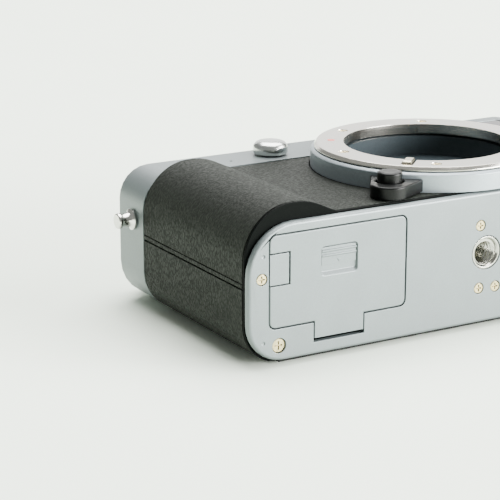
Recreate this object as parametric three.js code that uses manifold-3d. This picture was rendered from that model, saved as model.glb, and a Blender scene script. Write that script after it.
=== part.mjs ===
// Interchangeable-lens camera body, lying on its back, in mm.
// Local frame: X from the grip end, Y from the face of the bottom plate to the top plate,
// Z from the rear edge of the bottom plate to the lens mount. The group is moved at the end so
// that the origin is the middle of the underside of the bounding box.
import * as THREE from 'three';
import { mergeVertices } from 'three/addons/utils/BufferGeometryUtils.js';
import Module from 'manifold-3d';

const wasm = await Module();
wasm.setup();

// ---- driving dimensions ----
const GAP = 0.3;              // clearance between pieces that would touch
const BODY_W = 126;           // body width without lugs
const PLATE_T = 1.6;          // bottom plate thickness
const LEATHER_Z = 32.8;       // front leather
const PLATE_Z = LEATHER_Z - 0.4;          // front edge of the bottom plate
const COVER_Y = 51.6;         // lower edge of the top cover
const SHOULDER_Y = 65.2;      // top plane above the grip
const RAISED_Y = 67.6;        // top plane above the mount
const STEP_X = 49.3;          // where the top plane steps up
const REAR_Z = -1.0;          // back of the rear shell
const REST_Z = -1.6;          // rear screen and eyepiece, on which the body lies
const COVER_Z = LEATHER_Z + 0.2;          // front of the top cover
const COVER_WALL = 1.2;
const SKIN = 0.8;             // leather covering
const WALL = 1.6;             // chassis wall
const REAR_R = 10;            // rear corner of the body section
const FRONT_R = 12;           // front corner, far end and plate
const COVER_R = 8;            // front corner of the top cover
const GRIP_Z = LEATHER_Z + 3.5;           // crest of the grip
const GRIP_RX = 12.5;         // grip corner, across
const GRIP_RZ = 12.9;         // grip corner, fore and aft
const GRIP_CREST_X = 14;
const GRIP_END_X = 24.7;      // crease where the grip meets the flat front
const SEAM_Z = 18.1;          // middle of the strip between front and rear leather
const STRIP = 1.3;            // width of that strip
const MOUNT_X = 68.7;         // lens axis
const MOUNT_Y = 29.4;
const MOUNT_Z = LEATHER_Z + 5.9;          // face of the bayonet ring
const FLANGE = 17.7;          // bayonet face to sensor plane
const THROAT_R = 20.9;        // opening in the bayonet ring
const RING_R = 27.7;          // flat face of the bayonet ring
const COLLAR_R = 29.2;
const RING_T = 1.3;           // bayonet ring above its collar
const DOOR = [5.6, 42.5, 8.0, 29.8];      // battery door: x0, x1, z0, z1
const TAB = [17.6, 30.9, 3.9];            // hinge tab of the door: x0, x1, z0
const LATCH = [19.2, 29.1, 18.4, 25.5];   // thumb recess in the door
const FLAP = [5.6, 10.6, 18.2, 25.4];     // cable flap in the door's outer edge
const BATTERY = [36.4, 47.1, 15.7];
const CARD = [24, 32, 2.1];
const SOCKET_X = 66.0;        // tripod thread
const SOCKET_Z = 17.4;
const SOCKET_R = 3.2;         // 1/4 inch thread
const SOCKET_MOUTH_R = 4.0;
const LUG_Y = 57;
const LUG_Z = 21.4;
const LUG_L = 4.6;
const BUTTON_R = 3.0;         // lens release
const BUTTON_ANGLE = 219.3;   // round the mount from +X
const BUTTON_TOP = MOUNT_Z - 0.3;
const HOUSING = [41.9, 6.5, 4.6]; // rounded nose of the release housing: x, y, radius
const HOUSING_WALLS = [26, 55.5]; // directions of its two straight walls, degrees from +X
const HOUSING_TOP = LEATHER_Z + 3.3;
const RELEASE_TRAVEL = 1.5;
const PIN_ANGLE = 224;        // lock pin, round the mount from +X
const SHUTTER_X = 14;
const SHUTTER_Z = 24.5;
const EV_DIAL = [12.6, 8.6, 7.8, 4.8];    // x, z, radius, height
const TIME_DIAL = [36.5, 15, 9.8, 6.0];
const SHOE = [18.6, 17.6, 2.1, 12.5];     // slot width, length, height, gap between lips
const SHOE_Z = 16;
const SCREEN = [35.5, 104.5, 3.6, 49.4];  // rear screen window: x0, x1, y0, y1
const PAD_X = 21.5;
const PAD_Y = 21;
const PAD_R = 8.6;

// ---- helpers ----
// One solid from any closed three.js geometry, turned to face outwards.
function solid(geometry) {
  const g = geometry.index ? geometry.toNonIndexed() : geometry.clone();
  const bare = new THREE.BufferGeometry();
  bare.setAttribute('position', g.getAttribute('position'));
  const merged = mergeVertices(bare, 1e-4);
  const p = merged.attributes.position.array;
  const t = new Uint32Array(merged.index.array);
  const faces = [];
  let volume = 0;
  for (let i = 0; i < t.length; i += 3) {
    const [a, b, c] = [t[i], t[i + 1], t[i + 2]];
    if (a === b || b === c || a === c) continue;
    faces.push(a, b, c);
    const [A, B, C] = [a, b, c].map((k) => new THREE.Vector3(p[3 * k], p[3 * k + 1], p[3 * k + 2]));
    volume += A.dot(B.cross(C));
  }
  if (volume < 0) faces.reverse();
  const mesh = new wasm.Mesh({ numProp: 3, vertProperties: p, triVerts: new Uint32Array(faces) });
  return new wasm.Manifold(mesh);
}

const join = (a, ...rest) => rest.reduce((s, b) => s.add(b), a);
const cut = (a, ...rest) => rest.reduce((s, b) => s.subtract(b), a);
const keep = (a, b) => a.intersect(b);

const onto = {
  x: (u, v, w) => [w, u, v],
  y: (u, v, w) => [u, w, v],
  z: (u, v, w) => [u, v, w],
};

// Closed solid through outlines with the same number of points, stacked along an axis.
// levels: [[position, outline], ...]
function stack(axis, levels) {
  const at = [];
  const face = [];
  const n = levels[0][1].length;
  for (const [w, outline] of levels) {
    for (const q of outline) at.push(...onto[axis](q.x, q.y, w));
  }
  for (let k = 0; k + 1 < levels.length; k++) {
    for (let i = 0; i < n; i++) {
      const a = k * n + i;
      const b = k * n + (i + 1) % n;
      face.push(a, b, b + n, a, b + n, a + n);
    }
  }
  const last = (levels.length - 1) * n;
  for (const [i, j, k] of THREE.ShapeUtils.triangulateShape(levels[0][1], [])) face.push(k, j, i);
  for (const [i, j, k] of THREE.ShapeUtils.triangulateShape(levels.at(-1)[1], [])) {
    face.push(last + i, last + j, last + k);
  }
  const g = new THREE.BufferGeometry();
  g.setAttribute('position', new THREE.Float32BufferAttribute(at, 3));
  g.setIndex(face);
  return solid(g);
}

const prism = (axis, w0, w1, outline) => stack(axis, [[w0, outline], [w1, outline]]);

function rectangle(u0, u1, v0, v1, r = 0, n = 5) {
  const R = Array.isArray(r) ? r : [r, r, r, r];
  const corner = [[u0, v0, 1, 1, 180], [u1, v0, -1, 1, 270], [u1, v1, -1, -1, 0], [u0, v1, 1, -1, 90]];
  const out = [];
  corner.forEach(([u, v, su, sv, from], k) => {
    if (R[k] <= 0) {
      out.push(new THREE.Vector2(u, v));
      return;
    }
    for (let i = 0; i <= n; i++) {
      const a = THREE.MathUtils.degToRad(from + 90 * i / n);
      out.push(new THREE.Vector2(u + R[k] * (su + Math.cos(a)), v + R[k] * (sv + Math.sin(a))));
    }
  });
  return out;
}

function circle(u, v, r, n = 24) {
  const out = [];
  for (let i = 0; i < n; i++) {
    const a = 2 * Math.PI * i / n;
    out.push(new THREE.Vector2(u + r * Math.cos(a), v + r * Math.sin(a)));
  }
  return out;
}

// The same outline drawn in by d all round.
function inset(outline, d) {
  const n = outline.length;
  return outline.map((q, i) => {
    const before = q.clone().sub(outline[(i + n - 1) % n]).normalize();
    const after = outline[(i + 1) % n].clone().sub(q).normalize();
    const m = new THREE.Vector2(-before.y - after.y, before.x + after.x).normalize();
    const reach = d / Math.max(0.5, m.dot(new THREE.Vector2(-before.y, before.x)));
    return q.clone().addScaledVector(m, reach);
  });
}

const box = (x0, x1, y0, y1, z0, z1) => prism('z', z0, z1, rectangle(x0, x1, y0, y1));
const disc = (axis, u, v, r, w0, w1, n = 24) => prism(axis, w0, w1, circle(u, v, r, n));

// A turned piece: levels [[position, radius], ...] along the axis.
const turned = (axis, u, v, levels, n = 24) =>
  stack(axis, levels.map(([w, r]) => [w, circle(u, v, r, n)]));

function around(deg, r) {
  const a = THREE.MathUtils.degToRad(deg);
  return [MOUNT_X + r * Math.cos(a), MOUNT_Y + r * Math.sin(a)];
}

const [BUTTON_X, BUTTON_Y] = around(BUTTON_ANGLE, COLLAR_R + GAP + BUTTON_R + 0.05);

const finish = {
  silver: { color: 0xc3c8c5, metalness: 0.4, roughness: 0.45 },
  black: { color: 0x262a28, metalness: 0.0, roughness: 0.5 },
  leather: { color: 0x3c413a, metalness: 0.0, roughness: 0.8 },
  steel: { color: 0xd0d0c8, metalness: 1.0, roughness: 0.25 },
  rubber: { color: 0x1c1c1c, metalness: 0.0, roughness: 0.9 },
  glass: { color: 0x1a2226, metalness: 0.0, roughness: 0.05 },
  board: { color: 0x1e4630, metalness: 0.0, roughness: 0.6 },
};
const camera = new THREE.Group();

function piece(name, made, look) {
  const m = made.getMesh();
  const g = new THREE.BufferGeometry();
  g.setAttribute('position', new THREE.BufferAttribute(new Float32Array(m.vertProperties), 3));
  g.setIndex(new THREE.BufferAttribute(new Uint32Array(m.triVerts), 1));
  g.computeVertexNormals();
  const mesh = new THREE.Mesh(g, new THREE.MeshStandardMaterial(finish[look]));
  mesh.name = name;
  camera.add(mesh);
  return made;
}

// ---- body section, seen along Y ----
function bodySection() {
  const s = new THREE.Shape();
  const top = LEATHER_Z - FRONT_R;
  const low = REAR_Z + REAR_R;
  s.moveTo(REAR_R, REAR_Z);
  s.lineTo(BODY_W - REAR_R, REAR_Z);
  s.absarc(BODY_W - REAR_R, low, REAR_R, -Math.PI / 2, 0);
  s.lineTo(BODY_W, top);
  s.absarc(BODY_W - FRONT_R, top, FRONT_R, 0, Math.PI / 2);
  s.lineTo(GRIP_END_X, LEATHER_Z);
  s.bezierCurveTo(GRIP_END_X - 3.2, LEATHER_Z + 1, GRIP_CREST_X + 4.5, GRIP_Z, GRIP_CREST_X, GRIP_Z);
  s.lineTo(GRIP_RX, GRIP_Z);
  s.absellipse(GRIP_RX, GRIP_Z - GRIP_RZ, GRIP_RX, GRIP_RZ, Math.PI / 2, Math.PI);
  s.lineTo(0, low);
  s.absarc(REAR_R, low, REAR_R, Math.PI, 1.5 * Math.PI);
  return tidy(s.getPoints(7));
}

// Drops repeated points of a closed outline.
function tidy(points) {
  const out = [];
  for (const q of points) {
    if (!out.length || out.at(-1).distanceTo(q) > 1e-3) out.push(q);
  }
  if (out[0].distanceTo(out.at(-1)) < 1e-3) out.pop();
  return out;
}

const section = bodySection();
const core = inset(section, SKIN + GAP);
const bodyLow = PLATE_T + GAP;
const flangeTop = bodyLow + 0.7;
const bodyTop = COVER_Y - GAP;
const bayLow = PLATE_T + 2.0;
const collarFoot = PLATE_Z + GAP;
const collarTop = MOUNT_Z - RING_T;
const coreRear = REAR_Z + 2.1;
const PAST_MOUNT = MOUNT_Z + 10; // clear above every piece, for cuts right through

// ---- bottom plate with its openings ----
const hinge = { y: 1.6, z: 4.95, r: 0.6 };
const doorT = 1.2;
const plateOutline = rectangle(0, BODY_W, 0, PLATE_Z, [REAR_R - 0.5, REAR_R - 0.5, FRONT_R, FRONT_R], 8);
const hatch = join(
  prism('y', -1, PLATE_T + 1, rectangle(DOOR[0] - GAP, DOOR[1] + GAP, DOOR[2] - GAP, DOOR[3] + GAP, 1.8)),
  box(TAB[0] - GAP, TAB[1] + GAP, -1, PLATE_T + 1, TAB[2] - 0.9, DOOR[2] + 1),
  box(TAB[0] - 3, TAB[1] + 3, 0.7, PLATE_T + 1, hinge.z - 1.4, hinge.z + 1.5),
);
const SCREW_HOLE_R = 1.0;
const SCREW_SHANK_R = 0.7;
const SCREW_BOSS_R = 2.4;
// x, z, head radius, depth of the head below the face
const plateScrews = [
  [3.5, 20.0, 1.3, 0.1], [8.1, 3.7, 1.7, 0.4], [64.1, 24.3, 1.3, 0.1], [64.1, 8.7, 1.3, 0.1],
  [69.0, 8.5, 1.3, 0.1], [BODY_W - 6, PLATE_Z - 5.4, 1.3, 0.1],
];
let plate = stack('y', [
  [0, inset(plateOutline, 0.8)], [0.25, inset(plateOutline, 0.3)], [0.8, plateOutline], [PLATE_T, plateOutline],
]);
plate = cut(plate, hatch, disc('y', SOCKET_X, SOCKET_Z, SOCKET_MOUTH_R + 0.25, -1, 3, 40));
// Two shallow dimples beside the door.
const DIMPLE = { x: 3.9, z: [4.9, 25.3], r: 0.45, deep: 0.25 };
for (const z of DIMPLE.z) plate = cut(plate, disc('y', DIMPLE.x, z, DIMPLE.r, -1, DIMPLE.deep, 12));
for (const [x, z, r, deep] of plateScrews) {
  plate = cut(plate, disc('y', x, z, r + 0.15, -1, deep + 0.85, 16), disc('y', x, z, SCREW_HOLE_R, -1, 3, 12));
}
piece('bottom_plate', plate, 'silver');

// ---- chassis: open tube with a flush black flange behind the plate ----
let chassis = join(
  prism('y', bodyLow, flangeTop, section),
  prism('y', bodyLow, bodyTop, core),
);
chassis = cut(chassis, prism('y', 0, 60, inset(section, SKIN + GAP + WALL)));
const crest = box(-1, GRIP_END_X + 2, 0, 60, PLATE_Z - 2, 50);
chassis = join(
  chassis,
  keep(prism('y', bodyLow, flangeTop, section), crest),
  keep(prism('y', bodyTop - 1.2, bodyTop, core), crest),
);
const rearCut = box(REAR_R - 2, BODY_W - REAR_R + 2, 0, 60, -3, coreRear);
chassis = cut(join(chassis, box(9, BODY_W - 9, bodyLow, bodyTop, coreRear, coreRear + 1.5)), rearCut);
const BLOCK = { x0: SOCKET_X - 6.5, x1: SOCKET_X + 8, top: 8.2, z0: 5.2, z1: 27.2 };
for (const [x, z] of plateScrews) {
  const intoBlock = x > BLOCK.x0 && x < BLOCK.x1;
  if (intoBlock) continue;
  const boss = disc('y', x, z, SCREW_BOSS_R, bodyLow, bayLow - GAP, 16);
  chassis = join(chassis, keep(boss, prism('y', 0, 9, core)));
}
for (const [x, z] of plateScrews) chassis = cut(chassis, disc('y', x, z, SCREW_HOLE_R, 0, 7, 12));

// ---- mount ----
const liner = THROAT_R + 0.5;
const boxR = 25.6;
const boxTop = MOUNT_Z - 3.3;
const boxFoot = MOUNT_Z - 10.5;
chassis = cut(
  chassis,
  disc('z', MOUNT_X, MOUNT_Y, boxR + GAP, 20, PAST_MOUNT, 48),
  disc('z', MOUNT_X, MOUNT_Y, COLLAR_R + GAP, collarFoot - GAP, PAST_MOUNT, 56),
);

const collar = cut(
  stack('z', [
    [collarFoot, circle(MOUNT_X, MOUNT_Y, COLLAR_R, 56)],
    [collarTop - 0.5, circle(MOUNT_X, MOUNT_Y, COLLAR_R, 56)],
    [collarTop, circle(MOUNT_X, MOUNT_Y, COLLAR_R - 0.6, 56)],
  ]),
  disc('z', MOUNT_X, MOUNT_Y, boxR + GAP, 20, PAST_MOUNT, 48),
);
const pinAt = around(PIN_ANGLE, 23.7);
const slot = (u0, u1, half) => {
  const a = THREE.MathUtils.degToRad(PIN_ANGLE);
  const out = [[u0, -half], [u1, -half], [u1, half], [u0, half]];
  return out.map(([u, v]) => new THREE.Vector2(
    pinAt[0] + u * Math.cos(a) - v * Math.sin(a),
    pinAt[1] + u * Math.sin(a) + v * Math.cos(a),
  ));
};
piece('mount_collar', collar, 'silver');

const ringFoot = collarTop + GAP;
const ringHub = 25.2;
const grooveR = THROAT_R + 1.6;
let ring = join(
  stack('z', [
    [ringFoot, circle(MOUNT_X, MOUNT_Y, RING_R + 0.6, 56)],
    [ringFoot + 0.25, circle(MOUNT_X, MOUNT_Y, RING_R + 0.6, 56)],
    [MOUNT_Z, circle(MOUNT_X, MOUNT_Y, RING_R, 56)],
  ]),
  disc('z', MOUNT_X, MOUNT_Y, ringHub, boxTop + GAP, ringFoot + 0.1, 56),
);
ring = cut(ring, disc('z', MOUNT_X, MOUNT_Y, grooveR, boxTop, MOUNT_Z - 2.4, 48));
const BAYONET_GAPS = [85, 205, 325];
const bayonetGap = (deg) => {
  const half = 24;
  const p = [
    around(deg - half, 15), around(deg - half, 30), around(deg, 32),
    around(deg + half, 30), around(deg + half, 15),
  ];
  return prism('z', boxTop, MOUNT_Z - 1.1, p.map(([x, y]) => new THREE.Vector2(x, y)));
};
const reach = disc('z', MOUNT_X, MOUNT_Y, grooveR, 0, 60, 48);
for (const deg of BAYONET_GAPS) ring = cut(ring, keep(bayonetGap(deg), reach));
ring = cut(
  ring,
  disc('z', MOUNT_X, MOUNT_Y, THROAT_R, 20, PAST_MOUNT, 56),
  prism('z', 30, PAST_MOUNT, slot(-4.5, 2.2, 1.5)),
);
const mountScrewAngles = [-2, 58, 118, 178, 240, 298];
const mountScrewR = 24.2;
for (const deg of mountScrewAngles) {
  const [x, y] = around(deg, mountScrewR);
  ring = cut(ring, disc('z', x, y, 1.35, MOUNT_Z - 0.85, PAST_MOUNT, 16));
}
piece('mount_ring', ring, 'steel');

const crossZ = (x, y, z) => join(
  box(x - 0.8, x + 0.8, y - 0.16, y + 0.16, z - 0.4, z + 1),
  box(x - 0.16, x + 0.16, y - 0.8, y + 0.8, z - 0.4, z + 1),
);
mountScrewAngles.forEach((deg, i) => {
  const [x, y] = around(deg, mountScrewR);
  const top = MOUNT_Z - 0.08;
  const head = turned('z', x, y, [[top - 0.6, 0.9], [top - 0.1, 1.2], [top, 1.1]], 16);
  piece('mount_screw_' + (i + 1), cut(head, crossZ(x, y, top)), 'steel');
});

const pinTop = MOUNT_Z + 0.7;
piece('lens_lock_pin', stack('z', [
  [MOUNT_Z - 2.1, slot(-2.6, 1.8, 1.15)], [pinTop - 0.4, slot(-2.6, 1.8, 1.15)], [pinTop, slot(-2.2, 1.4, 0.9)],
]), 'steel');

// ---- lens release beside the collar ----
function housingOutline(d) {
  const [x, y, r] = HOUSING;
  const [right, left] = HOUSING_WALLS.map((deg) => THREE.MathUtils.degToRad(deg));
  const wall = (a, side, t) => new THREE.Vector2(
    x + side * (r - d) * Math.sin(a) + t * Math.cos(a),
    y - side * (r - d) * Math.cos(a) + t * Math.sin(a),
  );
  const out = [wall(right, 1, 9)];
  const from = right - Math.PI / 2;
  const sweep = Math.PI + right - left;
  for (let i = 0; i <= 12; i++) {
    const a = from - sweep * i / 12;
    out.push(new THREE.Vector2(x + (r - d) * Math.cos(a), y + (r - d) * Math.sin(a)));
  }
  out.push(wall(left, -1, 9.5));
  return out.reverse();
}
let housing = stack('z', [
  [LEATHER_Z + GAP, housingOutline(0)],
  [HOUSING_TOP - 0.3, housingOutline(0)],
  [HOUSING_TOP, housingOutline(0.25)],
]);
housing = cut(
  housing,
  disc('z', MOUNT_X, MOUNT_Y, COLLAR_R + GAP, 20, PAST_MOUNT, 56),
  disc('z', BUTTON_X, BUTTON_Y, BUTTON_R + 0.3, 20, PAST_MOUNT, 32),
  turned('z', BUTTON_X, BUTTON_Y, [
    [HOUSING_TOP - 0.4, BUTTON_R + 0.3], [HOUSING_TOP + 0.1, BUTTON_R + 0.8],
  ], 32),
);
piece('release_housing', housing, 'black');
const buttonFoot = LEATHER_Z + RELEASE_TRAVEL + GAP;
piece('release_button', turned('z', BUTTON_X, BUTTON_Y, [
  [buttonFoot, BUTTON_R], [BUTTON_TOP - 0.5, BUTTON_R],
  [BUTTON_TOP - 0.15, BUTTON_R - 0.2], [BUTTON_TOP, BUTTON_R - 0.6],
]), 'black');

// ---- light box, contacts, shutter and sensor ----
const GATE = [25.2, 17.2];    // opening in the shutter, over the sensor's picture area
const COVER_GLASS = [26, 18];
const SENSOR_BED = [30, 23];
const SENSOR_BOARD = [44, 34];
const SHUTTER_UNIT = { x0: 45, x1: 93, y0: 9, y1: 50 };
const behindLens = ([w, h]) => rectangle(MOUNT_X - w / 2, MOUNT_X + w / 2, MOUNT_Y - h / 2, MOUNT_Y + h / 2);
const lightBox = cut(
  join(
    disc('z', MOUNT_X, MOUNT_Y, boxR, LEATHER_Z - 2.4, boxTop, 48),
    disc('z', MOUNT_X, MOUNT_Y, liner + 1.6, boxFoot, boxTop, 48),
  ),
  disc('z', MOUNT_X, MOUNT_Y, liner, boxFoot + 2, PAST_MOUNT, 48),
  stack('z', [
    [boxFoot - 1, behindLens(COVER_GLASS)],
    [boxFoot + 3, behindLens(SENSOR_BED)],
  ]),
  prism('z', MOUNT_Z - 5.5, 50, slot(-5, 2.2, 1.5)),
);
piece('light_box', lightBox, 'black');
const contactR = liner - GAP;
const contacts = cut(
  keep(
    disc('z', MOUNT_X, MOUNT_Y, contactR, boxFoot + 2.3, boxTop - 0.4, 48),
    box(MOUNT_X - 11, MOUNT_X + 11, MOUNT_Y - 24, MOUNT_Y - 14, 20, PAST_MOUNT),
  ),
  disc('z', MOUNT_X, MOUNT_Y, contactR - 2.6, 20, PAST_MOUNT, 48),
);
piece('contact_block', contacts, 'black');
const sensorZ = MOUNT_Z - FLANGE;
const shutterTop = boxFoot - GAP;
piece('shutter_unit', cut(
  box(SHUTTER_UNIT.x0, SHUTTER_UNIT.x1, SHUTTER_UNIT.y0, SHUTTER_UNIT.y1, sensorZ + 3.0, shutterTop),
  prism('z', 15, shutterTop + 1, behindLens(GATE)),
), 'black');
piece('sensor', join(
  prism('z', sensorZ - 3.6, sensorZ - 2, behindLens(SENSOR_BOARD)),
  prism('z', sensorZ - 2, sensorZ - 0.3, behindLens(SENSOR_BED)),
  stack('z', [[sensorZ - 0.3, behindLens(COVER_GLASS)], [sensorZ + 1.4, behindLens(GATE)]]),
), 'glass');

// ---- leather: two pieces at each end, meeting at a strip ----
const skin = cut(prism('y', flangeTop + GAP, bodyTop, section), prism('y', 0, 60, inset(section, SKIN)));
const seamLow = SEAM_Z - STRIP / 2;
const seamHigh = SEAM_Z + STRIP / 2;
const mountHole = disc('z', MOUNT_X, MOUNT_Y, COLLAR_R + GAP, 20, PAST_MOUNT, 56);
const lowerPiece = (x0, x1) => box(x0, x1, 0, 60, -5, seamLow - GAP / 2);
const upperPiece = (x0, x1) => box(x0, x1, 0, 60, seamLow + GAP / 2, 50);
const port = { z0: 9.2, z1: 16.4, y0: 14, y1: 35 };
const portHole = box(BODY_W - 4, BODY_W + 1, port.y0 - GAP, port.y1 + GAP, port.z0 - 0.3, port.z1 + GAP);
const sideGroove = (x) => box(x - 0.25, x + 0.25, 0, 60, seamHigh - 0.15, seamHigh + 0.15);
piece('leather_grip_front', cut(keep(skin, upperPiece(-1, MOUNT_X - 5)), mountHole, sideGroove(0)), 'leather');
piece('leather_grip_rear', keep(skin, lowerPiece(-1, REAR_R - 1 - GAP)), 'leather');
piece('leather_far_front', cut(
  keep(skin, upperPiece(MOUNT_X + 5, BODY_W + 1)), mountHole, sideGroove(BODY_W),
), 'leather');
piece('leather_far_rear', cut(
  keep(skin, lowerPiece(BODY_W - REAR_R + 1 + GAP, BODY_W + 1)), portHole,
), 'leather');
piece('terminal_cover', box(BODY_W - SKIN, BODY_W, port.y0, port.y1, port.z0, port.z1), 'rubber');
chassis = cut(chassis, box(BODY_W - 6, BODY_W, port.y0 + 1, port.y1 - 1, port.z0 + 1, port.z1 - 0.6));

// ---- rear shell with screen, buttons, pad and thumb wheel ----
const shellTop = coreRear - GAP;
const rearButtons = [[109.6, 12], [109.6, 26], [109.6, 40]];
const KEY_R = 2.3;
const WHEEL = { x: 24, z: 2.7, r: 4.2, y0: 43.4, y1: 47.4 };
let rear = prism('y', bodyLow, bodyTop, rectangle(REAR_R - 1, BODY_W - REAR_R + 1, REAR_Z, shellTop));
const screenHole = (grow, z0, z1, r) => prism('z', z0, z1, rectangle(
  SCREEN[0] - grow, SCREEN[1] + grow, SCREEN[2] - grow, SCREEN[3] + grow, r,
));
const wheelSlot = box(WHEEL.x - 5, WHEEL.x + 5, WHEEL.y0 - GAP, WHEEL.y1 + GAP, -5, WHEEL.z + WHEEL.r + GAP);
rear = cut(rear, screenHole(GAP, -3, REAR_Z + 0.9, 2), screenHole(-3, -3, 5, 0), wheelSlot);
rear = cut(rear, disc('z', PAD_X, PAD_Y, PAD_R + GAP, -3, 5, 40));
for (const [x, y] of rearButtons) rear = cut(rear, disc('z', x, y, KEY_R + GAP, -3, 5, 24));
piece('rear_shell', rear, 'black');
chassis = cut(chassis, screenHole(-3, -3, 5, 0), wheelSlot);
for (const side of [BODY_W - 9, 9]) {
  chassis = cut(chassis, box(side - 4, side + 4, 0, 60, -3, REAR_Z + 0.7));
}

piece('screen_glass', stack('z', [
  [REST_Z, rectangle(SCREEN[0] + 0.5, SCREEN[1] - 0.5, SCREEN[2] + 0.5, SCREEN[3] - 0.5, 1.5)],
  [REST_Z + 0.4, rectangle(...SCREEN, 2)],
  [REAR_Z + 0.6, rectangle(...SCREEN, 2)],
]), 'glass');
piece('screen_panel', screenHole(-3.4, REAR_Z + 0.9, 2.4, 0), 'board');
const keyLow = REAR_Z + 0.1;
const keyTop = shellTop - 0.6;
rearButtons.forEach(([x, y], i) => {
  const key = turned('z', x, y, [[keyLow, KEY_R - 0.3], [keyLow + 0.3, KEY_R], [keyTop, KEY_R]], 24);
  piece('rear_button_' + (i + 1), key, 'black');
});
piece('direction_pad', cut(
  turned('z', PAD_X, PAD_Y, [[keyLow, PAD_R - 0.4], [keyLow + 0.4, PAD_R], [keyTop, PAD_R]], 40),
  disc('z', PAD_X, PAD_Y, 3.5, -3, 5, 32),
), 'black');
piece('ok_button', turned('z', PAD_X, PAD_Y, [[keyLow, 2.8], [keyLow + 0.3, 3.2], [keyTop, 3.2]], 28), 'black');
piece('thumb_wheel', turned('y', WHEEL.x, WHEEL.z, [
  [WHEEL.y0, WHEEL.r - 0.5], [WHEEL.y0 + 0.5, WHEEL.r], [WHEEL.y1 - 0.5, WHEEL.r], [WHEEL.y1, WHEEL.r - 0.5],
], 40), 'black');

// ---- battery compartment ----
const bayX0 = 5.7;
const bayX1 = bayX0 + BATTERY[0] + 0.5;
const bayZ1 = 28.7;
const bayZ0 = bayZ1 - BATTERY[2] - 0.5;
const cardZ1 = bayZ0 - 1;
const cardZ0 = cardZ1 - CARD[2] - 0.4;
const bayTop = bayLow + BATTERY[1] + 0.4;
const batteryBox = cut(
  box(bayX0 - 0.8, bayX1 + 0.8, bayLow, bayTop, cardZ0 - 0.8, bayZ1 + 0.8),
  box(bayX0, bayX1, 0, bayTop + 5, bayZ0, bayZ1),
  box(bayX0 + 6, bayX0 + 6 + CARD[0] + 0.6, 0, bayLow + CARD[1] + 1, cardZ0, cardZ1),
);
piece('battery_box', batteryBox, 'black');
piece('battery', prism('y', bayLow + 0.2, bayLow + 0.2 + BATTERY[1], rectangle(
  bayX0 + 0.25, bayX0 + 0.25 + BATTERY[0], bayZ0 + 0.25, bayZ1 - 0.25, 1.2,
)), 'black');
piece('memory_card', prism('y', bayLow + 0.8, bayLow + 0.8 + CARD[1], rectangle(
  bayX0 + 6.3, bayX0 + 6.3 + CARD[0], cardZ0 + 0.2, cardZ1 - 0.2,
)), 'board');

// ---- battery door, its hinge, latch and cable flap ----
const LATCH_TRAVEL = 1.4;
// The latch's stem through the door: its slot stays under the thumb plate when the latch is at rest.
const STEM = { x0: LATCH[0] + 2.3, x1: LATCH[1] - 2.3, z0: LATCH[3] - 2.7, z1: LATCH[3] - 1.7 };
let door = stack('y', [
  [0.0, rectangle(DOOR[0] + 0.2, DOOR[1] - 0.2, DOOR[2] + 0.2, DOOR[3] - 0.2, 1.3)],
  [0.2, rectangle(DOOR[0], DOOR[1], DOOR[2], DOOR[3], 1.5)],
  [doorT, rectangle(DOOR[0], DOOR[1], DOOR[2] + 0.25, DOOR[3], 1.5)],
]);
door = join(
  door,
  box(TAB[0], TAB[1], 0, doorT, hinge.z, DOOR[2] + 1),
  keep(box(TAB[0], TAB[1], 0, doorT, TAB[2], hinge.z + 1), disc('x', hinge.y, hinge.z, 1.85, 0, 60, 32)),
  disc('x', hinge.y, hinge.z, 1.15, TAB[0], TAB[1], 24),
);
door = cut(
  door,
  disc('x', hinge.y, hinge.z, hinge.r + 0.15, TAB[0] - 1, TAB[1] + 1, 24),
  stack('y', [
    [-0.01, rectangle(LATCH[0], LATCH[1], LATCH[2], LATCH[3], 0.9)],
    [0.55, rectangle(LATCH[0] + 0.15, LATCH[1] - 0.15, LATCH[2] + 0.75, LATCH[3] - 0.25, 0.7)],
    [0.7, rectangle(LATCH[0] + 0.2, LATCH[1] - 0.2, LATCH[2] + 0.9, LATCH[3] - 0.3, 0.6)],
  ]),
  box(STEM.x0 - GAP, STEM.x1 + GAP, -1, 3, STEM.z0 - LATCH_TRAVEL - GAP, STEM.z1 + GAP),
  box(FLAP[0] - 1, FLAP[1] + 0.4, -1, 3, FLAP[2] - GAP, FLAP[3] + GAP),
);
piece('battery_door', door, 'silver');
piece('door_hinge_pin', disc('x', hinge.y, hinge.z, hinge.r, TAB[0] - 2.2, TAB[1] + 2.2, 20), 'steel');
const ear = (x0, x1) => join(
  box(x0, x1, bodyLow, bodyLow + 2.6, coreRear + 0.5, hinge.z + 1.1),
  box(x0, x1, 1.0, bodyLow + 0.5, hinge.z - 1.1, hinge.z + 1.1),
);
const latch = join(
  prism('y', 0.15, 0.5, rectangle(LATCH[0] + 0.3, LATCH[1] - 0.3, LATCH[2] + 2.5, LATCH[3] - 0.4, 0.5)),
  box(STEM.x0, STEM.x1, 0.3, doorT + 0.7, STEM.z0, STEM.z1),
  box(LATCH[0] - 1, LATCH[1] + 1, doorT + 0.2, doorT + 0.8, LATCH[2] - 0.8, DOOR[3] - 1.0),
);
piece('door_latch', latch, 'silver');
piece('cable_flap', box(FLAP[0], FLAP[1], 0, doorT, FLAP[2], FLAP[3]), 'silver');

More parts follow.
